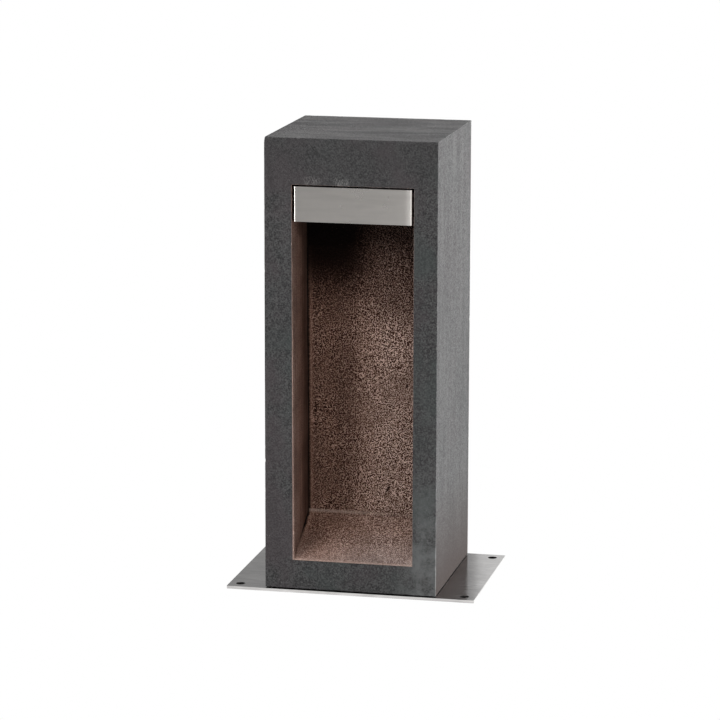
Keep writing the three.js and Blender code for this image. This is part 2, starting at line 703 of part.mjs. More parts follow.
function wireAlong(points) {
  return cordAlong(smoothPath(points), WIRE_RADIUS, WIRE_STEPS);
}

// A mains core: out of the sheath, round a quarter turn and into the driver's end.
function mainsCore([offsetX, offsetZ]) {
  const [x, z] = [ENTRY.x + offsetX, CORD_ENTRY_HEIGHT + offsetZ];
  const driverY = 2;
  return wireAlong([
    [x, coreStartY, z],
    [x, coreStartY - 4, z],
    [x - 2, driverY + 2, z],
    [x - 6, driverY, z],
    [driverEnd, driverY, z],
  ]);
}

// The earth core comes down to lie on the lug's tail.
function earthCore([offsetX, offsetZ]) {
  const [x, z] = [ENTRY.x + offsetX, CORD_ENTRY_HEIGHT + offsetZ];
  const onLug = STACK.driver + LUG.thickness + WIRE_RADIUS + FIT;
  return wireAlong([
    [x, coreStartY, z],
    [x, coreStartY - 3, z],
    [EARTH.x - 2, EARTH.y + 13, onLug + 2],
    [EARTH.x, EARTH.y + 10, onLug],
    [EARTH.x, EARTH.y + 5, onLug],
  ]);
}

place(head, "core_live", mainsCore(CORES.live), CORE_BROWN);
place(head, "core_neutral", mainsCore(CORES.neutral), CORE_BLUE);
place(head, "core_earth", earthCore(CORES.earth), CORE_GREEN);

// An LED wire: out of the driver's side, down through the carrier's slot, to the board's underside.
function ledWire(x) {
  const driverSide = DRIVER.depth / 2 + FIT;
  const below = STACK.board - WIRE_RADIUS - FIT;
  return wireAlong([
    [x, driverSide, STACK.driver + 3],
    [x, driverSide + 1.5, STACK.driver + 2.5],
    [x, WIRE_SLOT.y, STACK.driver],
    [x, WIRE_SLOT.y, STACK.carrier - 1],
    [x, WIRE_SLOT.y - 1.5, below + 0.4],
    [x, BOARD.depth / 2 - 1, below],
  ]);
}

place(head, "led_lead_plus", ledWire(LED_WIRES.plus), CORE_RED);
place(head, "led_lead_minus", ledWire(LED_WIRES.minus), LEAD_BLACK);

export default lantern;
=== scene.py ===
"""Stone garden lantern: the looks of the block, the base plate and the lamp head around the fixed frame.

Lengths are in metres unless a comment says millimetres. The niche faces -Y.
"""

import bisect
import json
import math

import bmesh
import bpy
import numpy as np
from mathutils import Matrix, Quaternion, Vector, noise


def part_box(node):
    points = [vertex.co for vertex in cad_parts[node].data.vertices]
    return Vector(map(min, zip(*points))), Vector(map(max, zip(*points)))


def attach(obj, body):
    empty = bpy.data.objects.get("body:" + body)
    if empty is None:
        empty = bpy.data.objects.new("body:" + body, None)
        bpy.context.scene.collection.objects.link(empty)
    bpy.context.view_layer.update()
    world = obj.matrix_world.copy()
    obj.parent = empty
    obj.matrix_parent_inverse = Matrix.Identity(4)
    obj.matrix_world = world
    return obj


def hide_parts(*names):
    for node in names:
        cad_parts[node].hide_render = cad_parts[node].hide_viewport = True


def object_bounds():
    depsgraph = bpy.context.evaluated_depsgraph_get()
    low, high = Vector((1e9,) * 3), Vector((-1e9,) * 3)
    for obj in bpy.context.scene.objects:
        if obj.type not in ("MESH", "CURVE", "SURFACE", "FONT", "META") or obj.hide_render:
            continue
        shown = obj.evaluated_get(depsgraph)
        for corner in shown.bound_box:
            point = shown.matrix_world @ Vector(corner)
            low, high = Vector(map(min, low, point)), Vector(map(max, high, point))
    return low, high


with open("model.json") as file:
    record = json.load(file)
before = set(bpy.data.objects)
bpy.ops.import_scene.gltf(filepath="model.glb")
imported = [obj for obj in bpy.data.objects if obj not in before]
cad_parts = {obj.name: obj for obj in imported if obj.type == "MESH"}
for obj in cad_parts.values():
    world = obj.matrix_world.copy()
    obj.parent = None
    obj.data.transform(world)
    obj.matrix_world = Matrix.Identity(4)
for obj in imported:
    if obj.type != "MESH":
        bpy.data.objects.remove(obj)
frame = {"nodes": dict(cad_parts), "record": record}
CAD_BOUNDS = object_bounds()
MM = 0.001


def into_scene(name, data):
    """A new object in the scene that holds this mesh, lamp or camera."""
    made = bpy.data.objects.new(name, data)
    bpy.context.scene.collection.objects.link(made)
    return made


# ---------------------------------------------------------------- camera

VIEW_AZIMUTH = math.radians(12.4085)
VIEW_ELEVATION = math.radians(11.3597)
VIEW_ROLL = math.radians(0.1284)
VIEW_DISTANCE = 2.9164
VIEW_LENS = 167.33
VIEW_AIM = Vector((-7.46, -2.77, -5.46)) * MM


def make_camera():
    low, high = CAD_BOUNDS
    flat = math.cos(VIEW_ELEVATION)
    back = Vector((math.sin(VIEW_AZIMUTH) * flat, -math.cos(VIEW_AZIMUTH) * flat, math.sin(VIEW_ELEVATION)))
    camera = into_scene("camera", bpy.data.cameras.new("camera"))
    camera.data.sensor_width = 36
    camera.data.lens = VIEW_LENS
    camera.data.clip_start = 0.1
    camera.data.clip_end = 60
    camera.location = (low + high) / 2 + VIEW_AIM + back * VIEW_DISTANCE
    camera.rotation_mode = "QUATERNION"
    camera.rotation_quaternion = (-back).to_track_quat("-Z", "Y") @ Quaternion((0, 0, 1), VIEW_ROLL)
    bpy.context.scene.camera = camera


make_camera()

# ---------------------------------------------------------------- node graphs


class Graph:
    """The node tree of one material, ending in one Principled shader."""

    def __init__(self, name):
        self.material = bpy.data.materials.new(name)
        self.material.use_nodes = True
        self.tree = self.material.node_tree
        self.tree.nodes.clear()
        self.shader = self.add("BsdfPrincipled")
        output = self.add("OutputMaterial")
        self.put(output.inputs["Surface"], self.shader.outputs["BSDF"])
        self.place = self.add("TexCoord").outputs["Object"]

    def add(self, kind, inputs=None, **settings):
        node = self.tree.nodes.new("ShaderNode" + kind)
        for key, value in settings.items():
            setattr(node, key, value)
        for key, value in (inputs or {}).items():
            self.put(node.inputs[key], value)
        return node

    def put(self, socket, value):
        if isinstance(value, bpy.types.NodeSocket):
            self.tree.links.new(value, socket)
        else:
            socket.default_value = value

    def set(self, **inputs):
        """Sets the shader's sockets; an underscore in a name stands for a space."""
        for key, value in inputs.items():
            self.put(self.shader.inputs[key.replace("_", " ")], value)

    def stretched(self, x, y, z):
        """The place on the piece, scaled along each axis."""
        return self.add("Mapping", {"Vector": self.place, "Scale": (x, y, z)}).outputs["Vector"]

    def axes(self, vector):
        """The X, Y and Z of a vector."""
        return self.add("SeparateXYZ", {"Vector": vector}).outputs

    def noise(self, size, detail=2, roughness=0.5, place=None):
        """Soft noise about 0.5, with lumps of about this size in metres."""
        inputs = {"Vector": place or self.place, "Scale": 1 / size, "Detail": detail, "Roughness": roughness}
        return self.add("TexNoise", inputs).outputs["Fac"]

    def cells(self, size):
        """Distance to the nearest of many scattered centres; size is about how far apart they are in metres."""
        return self.add("TexVoronoi", {"Vector": self.place, "Scale": 1 / size}).outputs["Distance"]

    def math(self, operation, a, b=0.0):
        node = self.add("Math", operation=operation)
        self.put(node.inputs[0], a)
        self.put(node.inputs[1], b)
        return node.outputs[0]

    def plus(self, total, *values):
        for value in values:
            total = self.math("ADD", total, value)
        return total

    def times(self, product, *values):
        for value in values:
            product = self.math("MULTIPLY", product, value)
        return product

    def spread(self, value, low, high, to_low=0.0, to_high=1.0):
        """Maps low..high to to_low..to_high, clamped."""
        inputs = {"Value": value, "From Min": low, "From Max": high, "To Min": to_low, "To Max": to_high}
        return self.add("MapRange", inputs).outputs["Result"]

    def mix(self, factor, a, b, blend="MIX"):
        """Colour a where the factor is 0, and b where it is 1."""
        node = self.add("Mix", data_type="RGBA", blend_type=blend)
        self.put(node.inputs[0], factor)
        self.put(node.inputs[6], a if isinstance(a, bpy.types.NodeSocket) else (*a, 1))
        self.put(node.inputs[7], b if isinstance(b, bpy.types.NodeSocket) else (*b, 1))
        return node.outputs[2]

    def bump(self, height, distance, strength=1.0):
        """Adds relief; distance is the height in metres where height is 1."""
        inputs = {"Height": height, "Distance": distance, "Strength": strength}
        if self.shader.inputs["Normal"].is_linked:
            inputs["Normal"] = self.shader.inputs["Normal"].links[0].from_socket
        self.set(Normal=self.add("Bump", inputs).outputs["Normal"])


# ---------------------------------------------------------------- materials

# The honed faces' tones.
GRIT_DARK, GRIT_PALE = (0.0225, 0.022, 0.0225), (0.068, 0.067, 0.0672)
CLOUD_COOL, CLOUD_WARM = (0.043, 0.0505, 0.049), (0.056, 0.0465, 0.0495)
STREAK_DARK, STREAK_PALE = (0.026, 0.0255, 0.026), (0.078, 0.077, 0.076)
PORE, SPECK = (0.02, 0.02, 0.021), (0.15, 0.147, 0.144)
SIDE_FOOT_DARK = (0.026, 0.0205, 0.019)
FRONT_STAIN = (0.032, 0.0315, 0.032)
FRONT_WORN = (0.112, 0.1165, 0.1155)
SCRATCH = (0.19, 0.184, 0.178)
EDGE_WORN = (0.15, 0.146, 0.142)

# The niche's tones.
PIT, GRAIN, CRYSTAL = (0.016, 0.006, 0.0035), (0.15, 0.086, 0.065), (0.52, 0.38, 0.322)
WALL_DARK, WALL_PALE, WALL_GRAIN = (0.27, 0.153, 0.116), (0.58, 0.39, 0.318), (0.2, 0.14, 0.115)
NICHE_STAIN = (0.1, 0.062, 0.047)
# Painted tints: redder for the shaded left, greyer for the lit mouth; and the colour of the deepest painted
# shade.
NICHE_SHADED_LEFT_TINT, NICHE_LIT_MOUTH_TINT = (1, 0.87, 0.8), (0.96, 1.12, 1.25)
NICHE_DARKEST = (0.003, 0.001, 0.0006)
NICHE_WORN = (0.36, 0.265, 0.22)

# Marks that only the front face has fade out between these depths.
FRONT_FADE = (-0.0735, -0.0725)
# Where the two fans of scratches above the lamp head start: X, Z and a number that tells them apart.
SCRATCH_FANS = [(-0.0335, 0.346, 0.0), (-0.0085, 0.346, 1.5)]


def front_only(g):
    """1 on the block's front face and 0 behind it."""
    return g.spread(g.axes(g.place)["Y"], *FRONT_FADE, 1, 0)


def scratch_fan(g, x, z, turn):
    """Short pale scratches on the front face that fan out upwards from a point."""
    place = g.axes(g.place)
    across = g.math("SUBTRACT", place["X"], x)
    above = g.math("SUBTRACT", place["Z"], z)
    angle = g.math("ARCTAN2", across, above)
    far = g.math("SQRT", g.plus(g.times(across, across), g.times(above, above)))
    polar = g.add("CombineXYZ", {"X": angle, "Y": g.times(far, 22), "Z": turn}).outputs[0]
    lines = g.spread(g.noise(0.055, 1, 0.5, polar), 0.5, 0.6)
    near_end = g.spread(far, 0.006, 0.009)
    far_end = g.spread(far, 0.012, 0.018, 1, 0)
    narrow = g.spread(g.math("ABSOLUTE", g.math("SUBTRACT", angle, turn * 0.1)), 0.35, 0.75, 1, 0)
    return g.times(lines, near_end, far_end, narrow, front_only(g))


def outer_stone(g, wear):
    """Colour and relief of the honed faces: dark grit with clouds, streaks, pores and small pale specks."""
    place = g.axes(g.place)
    facing = g.axes(g.add("TexCoord").outputs["Normal"])
    on_top = g.spread(facing["Z"], 0.6, 0.8)
    on_side = g.spread(g.math("ABSOLUTE", facing["X"]), 0.6, 0.8)
    on_front = front_only(g)

    grit = g.noise(0.0012, 2, 0.6)
    mottle = g.noise(0.0035, 2, 0.55)
    fine = g.plus(g.times(grit, 0.8), g.times(mottle, 0.2))
    tone = g.mix(g.spread(fine, 0.38, 0.62), GRIT_DARK, GRIT_PALE)

    # Clouds, mostly on the front and back: warmer to the left, cooler to the right.
    clouds = g.plus(g.noise(0.05, 3, 0.55), g.spread(place["X"], -0.07, 0.07, 0.06, -0.06))
    share = g.spread(g.math("MAXIMUM", on_top, on_side), 0, 1, 0.55, 0.1)
    tone = g.mix(g.times(g.spread(clouds, 0.34, 0.48, 1, 0), share), tone, CLOUD_COOL)
    tone = g.mix(g.times(g.spread(clouds, 0.52, 0.66), share), tone, CLOUD_WARM)

    # Streaks: upright on the upright faces, and along X on the top, where they are strongest.
    upright = g.noise(1, 2, 0.5, g.stretched(80, 80, 9))
    level = g.noise(1, 3, 0.6, g.stretched(16, 85, 300))
    streaks = g.mix(on_top, upright, level)
    share = g.plus(0.12, g.math("MAXIMUM", g.times(on_top, 0.36), g.times(on_side, 0.1)))
    tone = g.mix(g.times(g.spread(streaks, 0.5, 0.68), share), tone, STREAK_PALE)
    tone = g.mix(g.times(g.spread(streaks, 0.36, 0.5, 1, 0), share), tone, STREAK_DARK)

    # Pale specks here and there, and pores all over.
    speckled = g.spread(g.noise(0.009, 2), 0.52, 0.66)
    specks = g.times(g.spread(g.cells(0.0026), 0.1, 0.2, 1, 0), speckled)
    tone = g.mix(g.times(specks, 0.55), tone, SPECK)
    pores = g.spread(g.cells(0.0042), 0.07, 0.13, 1, 0)
    tone = g.mix(g.times(pores, 0.35), tone, PORE)

    # Darker at the foot of the sides and at the top of the front, and worn right of the niche's foot.
    low = g.spread(place["Z"], 0.004, 0.095, 0.9, 0)
    tone = g.mix(g.times(low, on_side), tone, SIDE_FOOT_DARK)
    high = g.spread(place["Z"], 0.335, 0.375, 0, 0.35)
    tone = g.mix(g.times(high, on_front), tone, FRONT_STAIN)
    near_foot = g.spread(place["Z"], 0.02, 0.13, 1, 0)
    to_right = g.spread(place["X"], 0.04, 0.062)
    patchy = g.spread(g.noise(0.014, 3, 0.6), 0.36, 0.62, 0.2, 1)
    tone = g.mix(g.times(near_foot, to_right, on_front, patchy), tone, FRONT_WORN)

    scratches = g.plus(*(scratch_fan(g, *fan) for fan in SCRATCH_FANS))
    tone = g.mix(g.times(scratches, 0.55), tone, SCRATCH)
    tone = g.mix(g.spread(wear, 0.1, 0.9, 0, 0.8), tone, EDGE_WORN)
    relief = g.math("SUBTRACT", g.times(grit, 0.5), g.times(pores, 0.4))
    return tone, relief


def hewn_stone(g, coarse, height, wear, dark):
    """Colour and relief of the niche: dark pits between warm brown grains, smoother where coarse is low."""
    place = g.axes(g.place)
    maze = g.spread(g.noise(0.00098, 0.6, 0.5), 0.42, 0.57)
    grit = g.spread(g.noise(0.0007, 1.5, 0.6), 0.3, 0.7, -0.2, 0.2)
    level = g.plus(maze, grit, g.spread(height, 0, 1, -0.2, 0.2))
    # Where the painted shade is, more of the grain turns to pit.
    level = g.math("SUBTRACT", level, g.times(dark, 0.45))
    grain = g.mix(g.spread(level, 0.05, 0.5), PIT, GRAIN)
    grain = g.mix(g.spread(level, 0.5, 1.05), grain, CRYSTAL)

    # The smoother walls: upright bands with a weaker grain.
    bands = g.noise(1, 3, 0.6, g.stretched(300, 300, 8))
    plain = g.mix(g.spread(bands, 0.33, 0.67), WALL_DARK, WALL_PALE)
    plain = g.mix(g.spread(level, 0.1, 0.9, 0, 0.45), plain, WALL_GRAIN)
    brown = g.mix(coarse, plain, grain)

    # Stains; painted light and shade tints, redder to the shaded left and greyer at the lit mouth; near black
    # where the painted shade is darkest; paler where worn and along the far creases.
    stain = g.spread(g.noise(0.03, 3), 0.45, 0.64, 0, 0.35)
    brown = g.mix(stain, brown, NICHE_STAIN)
    brown = g.mix(g.spread(place["X"], -0.03, 0.02, 1, 0), brown, NICHE_SHADED_LEFT_TINT, "MULTIPLY")
    brown = g.mix(g.spread(place["Y"], -0.075, -0.035, 1, 0), brown, NICHE_LIT_MOUTH_TINT, "MULTIPLY")
    brown = g.mix(g.math("POWER", dark, 1.6), brown, NICHE_DARKEST)
    brown = g.mix(g.spread(wear, 0.1, 0.9, 0, 0.85), brown, NICHE_WORN)
    relief = g.times(level, g.spread(coarse, 0, 1, 0.3, 1.0))
    return brown, relief


def stone_material():
    """Dark honed stone outside; rough, warm brown stone where the niche is cut.

    The mesh says which: its surface attribute holds hewn, coarse, wear and the relief's level.
    """
    g = Graph("stone")
    surface = g.add("Attribute", attribute_name="surface", attribute_type="GEOMETRY")
    channels = g.add("SeparateColor", {"Color": surface.outputs["Color"]})
    hewn, coarse, wear = (channels.outputs[c] for c in ("Red", "Green", "Blue"))
    # The niche's painted shade, from the mesh.
    dark = g.add("Attribute", attribute_name="painted_shade", attribute_type="GEOMETRY").outputs["Fac"]
    outer_tone, outer_relief = outer_stone(g, wear)
    hewn_tone, hewn_relief = hewn_stone(g, coarse, surface.outputs["Alpha"], wear, dark)
    g.set(Base_Color=g.mix(hewn, outer_tone, hewn_tone))
    outer_rough = g.spread(outer_relief, 0.0, 0.6, 0.85, 0.7)
    g.set(Roughness=g.math("MAXIMUM", outer_rough, g.times(hewn, 0.9)), Specular_IOR_Level=0.06)
    relief = g.plus(outer_relief, g.times(hewn, g.math("SUBTRACT", hewn_relief, outer_relief)))
    g.bump(relief, 0.4 * MM)
    return g.material


def brushed_steel(name, tone, roughness, along, contrast, anisotropy=0.75, relief=0.004):
    """Brushed stainless steel. along is the scale of the brush marks along X, Y and Z.

    relief is their depth in millimetres; where it is 0, they are in the colour only.
    """
    g = Graph(name)
    marks = g.noise(1, 2, 0.5, g.stretched(*along))
    long_marks = g.noise(1, 2, 0.6, g.stretched(*[s * 0.3 for s in along]))
    smudges = g.noise(0.028, 3, 0.55)
    bright = tuple(min(c * (1 + contrast), 1) for c in tone)
    dull = tuple(c * (1 - contrast) for c in tone)
    colour = g.mix(g.spread(marks, 0.3, 0.7), dull, bright)
    colour = g.mix(g.spread(long_marks, 0.35, 0.65), colour, g.mix(0.5, colour, bright))
    smudged = tuple(c * (1 - max(contrast, 0.13)) for c in tone)
    colour = g.mix(g.spread(smudges, 0.35, 0.65, 0, 0.5), colour, smudged)
    g.set(Base_Color=colour, Metallic=1.0)
    uneven = g.spread(smudges, 0.3, 0.7, -0.025, 0.035)
    if relief:
        uneven = g.plus(uneven, g.spread(marks, 0.2, 0.8, -0.05, 0.06))
        g.bump(marks, relief * MM, 0.4)
    g.set(Roughness=g.plus(uneven, roughness))
    g.set(Anisotropic=anisotropy, Tangent=g.add("Tangent", direction_type="UV_MAP", uv_map="grain").outputs[0])
    return g.material


def plain_metal(name, tone, roughness, mark_size=0.0006):
    """Turned or pressed metal with fine tool marks and a little staining."""
    g = Graph(name)
    marks = g.noise(mark_size, 3, 0.6)
    stain = g.noise(0.006, 2)
    g.set(Base_Color=g.mix(g.spread(stain, 0.3, 0.7), tone, tuple(c * 0.8 for c in tone)), Metallic=1.0)
    g.set(Roughness=g.plus(g.spread(marks, 0.2, 0.8, -0.06, 0.08), roughness))
    g.bump(marks, 0.015 * MM, 0.5)
    return g.material


DUST_TONE = 0.45


def moulded(name, tone, roughness, grain_size, depth, dust, **sockets):
    """Moulded plastic or rubber: a fine eroded skin, slight colour drift and a little dust.

    depth is the skin's, in millimetres; dust is how far the tone drifts towards mid grey.
    """
    g = Graph(name)
    skin = g.noise(grain_size, 3, 0.6)
    drift = g.noise(0.008, 2)
    paler = tuple(c + (DUST_TONE - c) * dust for c in tone)
    g.set(Base_Color=g.mix(g.spread(drift, 0.3, 0.75), tone, paler))
    g.set(Roughness=g.plus(g.spread(skin, 0.2, 0.8, -0.07, 0.07), roughness))
    g.bump(skin, depth * MM, 0.6)
    g.set(**sockets)
    return g.material


def frosted_glass():
    g = Graph("frosted_glass")
    frost = g.noise(0.0004, 3, 0.7)
    g.set(Base_Color=g.mix(g.spread(g.noise(0.02, 2), 0.3, 0.7), (0.86, 0.92, 0.91), (0.8, 0.87, 0.86)))
    g.set(Transmission_Weight=0.85, IOR=1.5, Roughness=g.spread(frost, 0.2, 0.8, 0.32, 0.5))
    g.bump(frost, 0.02 * MM, 0.6)
    return g.material


def record_tone(slot):
    """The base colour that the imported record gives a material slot."""
    for material in frame["record"]["materials"]:
        if material["slot"] == slot:
            return tuple(material["base_color"][:3])
    raise ValueError(slot)


def make_materials():
    plate_marks = (60, 330, 330)
    head_marks = (30, 30, 260)
    made = {
        "stone": stone_material(),
        "plate_steel": brushed_steel("plate_steel", (0.388, 0.379, 0.373), 0.14, plate_marks, 0.22, 0.6),
        "head_steel": brushed_steel("head_steel", (0.505, 0.482, 0.458), 0.28, head_marks, 0.08, relief=0),
        "screw_steel": plain_metal("screw_steel", record_tone("screw_steel"), 0.3),
        "brass": plain_metal("brass", record_tone("brass"), 0.35),
        "heat_spreader": plain_metal("heat_spreader", record_tone("heat_spreader"), 0.4, 0.0009),
        "frosted_glass": frosted_glass(),
    }
    for slot in ["base_rubber", "inlet_rubber", "lead_sheath", "thermal_pad"]:
        made[slot] = moulded(slot, record_tone(slot), 0.78, 0.0004, 0.03, 0.04)
    made["silicone"] = moulded("silicone", record_tone("silicone"), 0.5, 0.001, 0.02, 0, Subsurface_Weight=0.2)
    plastics = ["connector_plastic", "terminal_plastic", "clamp_plastic", "nylon", "driver_plastic"]
    plastics += ["board", "reflector_white"]
    for slot in plastics:
        made[slot] = moulded(slot, record_tone(slot), 0.45, 0.0006, 0.02, 0.05)
    for slot in ["core_brown", "core_blue", "core_green_yellow", "core_red", "core_black", "led_phosphor"]:
        made[slot] = moulded(slot, record_tone(slot), 0.32, 0.001, 0.01, 0.03)
    return made


MATERIALS = make_materials()

# ---------------------------------------------------------------- pieces


def add_piece(name, mesh, slot, *nodes):
    """Puts a mesh into the scene as a piece that stands for these CAD nodes."""
    piece = into_scene(name, mesh)
    mesh.materials.clear()
    mesh.materials.append(MATERIALS[slot])
    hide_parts(*nodes)
    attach(piece, "root")
    return piece


def smooth_by_angle(mesh, degrees):
    mesh.shade_smooth()
    mesh.set_sharp_from_angle(angle=math.radians(degrees))


def evaluated_mesh(piece):
    """The piece's mesh with its modifiers applied."""
    graph = bpy.context.evaluated_depsgraph_get()
    return bpy.data.meshes.new_from_object(piece.evaluated_get(graph))


# ---------------------------------------------------------------- stone block (millimetres)

STONE_LOW, STONE_HIGH = (np.array(corner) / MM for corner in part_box("stone_body"))
HEAD_LOW, HEAD_HIGH = (np.array(corner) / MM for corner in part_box("head_housing"))
HEAD_GAP = 1.5
SILL_HEIGHT = 25.5
MOUTH_X = (HEAD_LOW[0] - HEAD_GAP, HEAD_HIGH[0] + HEAD_GAP)
MOUTH_Z = (STONE_LOW[2] + SILL_HEIGHT, HEAD_HIGH[2] + HEAD_GAP)
NICHE_DEPTH = 58
NICHE_BACK = STONE_LOW[1] + NICHE_DEPTH
FLOOR_RISE = 30.25
WALL_LEAN = 1.5
# From here up, the lamp head hides the niche.
HIDDEN_FROM = HEAD_LOW[2] + 2

# Radius of the outer arrises and of the mouth's edge, and the depth of what has worn off them.
ARRIS = 0.4
MOUTH_EDGE = 0.45
CHIP_DEPTH = 0.6
SCUFF_DEPTH = 0.08
NICK_DEPTH = 0.3
BROKEN_CORNER = (STONE_LOW[0], STONE_LOW[1], STONE_HIGH[2])
BROKEN_DEPTH = 0.7
BROKEN_REACH = 4

# Pitch of the mesh: lines beside an edge, then steps on the flat, beside an edge and in the niche.
EDGE_BAND = 3
NEAR_ARRIS = (0, 0.13, 0.3, 0.8, EDGE_BAND)
NEAR_MOUTH = (0, 0.15, 0.3, 0.6, 1.5, EDGE_BAND)
FLAT_STEP = 6
EDGE_STEP = 2
NICHE_STEP = 1.0
DEPTH_STEP = 1.4
HIDDEN_STEP = 4
GRID_WANDER = 0.45
# Two places closer than this are the same.
SAME = 1e-6


def steps(start, end, size):
    """Evenly spaced places from start to end, about this far apart."""
    return np.linspace(start, end, max(1, round((end - start) / size)) + 1)


def rising(start, distances):
    """Places at these distances above start."""
    return start + np.array(distances, float)


def falling(end, distances):
    """Places at these distances below end, the lowest first."""
    return end - np.array(distances[::-1], float)


class Shell:
    """A closed surface made of rectangular grids in axis planes. Grids of different pitch may meet.

    points maps a place in whole micrometres to its number. fixed says in which axes a point has to
    keep its place, and hewn whether outer grids and niche grids hold it. rails are the points on each
    line where grids end.
    """

    def __init__(self):
        self.points = {}
        self.fixed = []
        self.hewn = []
        self.cells = []
        self.rails = {}

    def point(self, place, axis, hewn):
        """Takes up a point of a grid that lies square to this axis."""
        key = tuple(int(round(c * 1000)) for c in place)
        index = self.points.setdefault(key, len(self.points))
        if index == len(self.fixed):
            self.fixed.append([False, False, False])
            self.hewn.append([False, False])
        self.fixed[index][axis] = True
        self.hewn[index][hewn] = True
        return key

    def grid(self, axis, level, us, vs, sign, hewn=False):
        """One grid in the plane where the axis is at this level; sign is the way that it faces."""
        u_axis, v_axis = [a for a in range(3) if a != axis]
        place = [0, 0, 0]
        place[axis] = level
        keys = []
        for u in us:
            place[u_axis] = u
            row = []
            for v in vs:
                place[v_axis] = v
                row.append(self.point(place, axis, hewn))
            keys.append(row)
        border = set(keys[0] + keys[-1] + [row[0] for row in keys] + [row[-1] for row in keys])
        for key in border:
            for along in (u_axis, v_axis):
                rail = key[:along] + key[along + 1:]
                self.rails.setdefault((along, rail), set()).add(key[along])
        flip = (sign > 0) == (axis == 1)
        for i in range(len(us) - 1):
            for j in range(len(vs) - 1):
                loop = [keys[i][j], keys[i + 1][j], keys[i + 1][j + 1], keys[i][j + 1]]
                edge = i in (0, len(us) - 2) or j in (0, len(vs) - 2)
                self.cells.append((loop[::-1] if flip else loop, edge))

    def between(self, start, end):
        """The points that other grids have on this side of a cell, in order from start to end."""
        along = next(a for a in range(3) if start[a] != end[a])
        rail = self.rails.get((along, start[:along] + start[along + 1:]), ())
        low, high = sorted((start[along], end[along]))
        found = rail[bisect.bisect_right(rail, low):bisect.bisect_left(rail, high)]
        if start[along] > end[along]:
            found = found[::-1]
        return [start[:along] + (c,) + start[along + 1:] for c in found]

    def faces(self):
        """The cells as loops of point numbers, with the neighbouring grids' points taken up in their edges."""
        self.rails = {key: sorted(values) for key, values in self.rails.items()}
        made = []
        for loop, edge in self.cells:
            face = []
            for start, end in zip(loop, loop[1:] + loop[:1]):
                face.append(self.points[start])
                if edge:
                    face.extend(self.points[key] for key in self.between(start, end))
            made.append(face)
        return made

    def places(self):
        """The points' places in millimetres."""
        return np.array(list(self.points), float) / 1000


def line_sets(axis):
    """The stretches of an outer face along one axis: bands at both ends, and round the mouth if it has one."""
    low, high = STONE_LOW[axis], STONE_HIGH[axis]
    mouth = {0: MOUTH_X, 2: MOUTH_Z}.get(axis)
    lines = [low, low + EDGE_BAND]
    if mouth is not None:
        lines += [mouth[0] - EDGE_BAND, mouth[0], mouth[1], mouth[1] + EDGE_BAND]
    lines += [high - EDGE_BAND, high]
    return list(zip(lines, lines[1:]))


def outer_lines(stretches, number, other_is_band):
    """The grid lines of one stretch of an outer face, finer where the strip is an edge band itself."""
    start, end = stretches[number]
    if number == 0:
        return rising(start, NEAR_ARRIS)
    if number == len(stretches) - 1:
        return falling(end, NEAR_ARRIS)
    coarse = steps(start, end, FLAT_STEP)
    if not other_is_band:
        return coarse
    fine = [steps(a, b, EDGE_STEP)[:-1] for a, b in zip(coarse, coarse[1:])]
    return np.append(np.concatenate(fine), end)


def add_outer_face(shell, axis, sign):
    """One of the block's plain outer faces."""
    u_axis, v_axis = [a for a in range(3) if a != axis]
    level = (STONE_HIGH if sign > 0 else STONE_LOW)[axis]
    u_sets, v_sets = line_sets(u_axis), line_sets(v_axis)
    for i in range(len(u_sets)):
        for j in range(len(v_sets)):
            u_band = i in (0, len(u_sets) - 1)
            v_band = j in (0, len(v_sets) - 1)
            us = outer_lines(u_sets, i, v_band)
            vs = outer_lines(v_sets, j, u_band)
            shell.grid(axis, level, us, vs, sign)


def add_front_face(shell):
    """The front face: as the other outer faces, with finer strips round the niche's mouth."""
    u_sets, v_sets = line_sets(0), line_sets(2)
    hidden = [MOUTH_Z[0], HIDDEN_FROM, MOUTH_Z[1]]
    mouth_lines = {
        0: steps(*MOUTH_X, NICHE_STEP),
        2: np.append(steps(hidden[0], hidden[1], NICHE_STEP)[:-1], steps(hidden[1], hidden[2], NICHE_STEP)),
    }
    before, mouth, after = 2, 3, 4
    for i in range(len(u_sets)):
        for j in range(len(v_sets)):
            if i == mouth and j == mouth:
                continue
            us = outer_lines(u_sets, i, j in (0, len(v_sets) - 1))
            vs = outer_lines(v_sets, j, i in (0, len(u_sets) - 1))
            if before <= i <= after and before <= j <= after:
                us = {before: falling(MOUTH_X[0], NEAR_MOUTH), mouth: mouth_lines[0],
                      after: rising(MOUTH_X[1], NEAR_MOUTH)}[i]
                vs = {before: falling(MOUTH_Z[0], NEAR_MOUTH), mouth: mouth_lines[2],
                      after: rising(MOUTH_Z[1], NEAR_MOUTH)}[j]
            shell.grid(1, STONE_LOW[1], us, vs, -1)


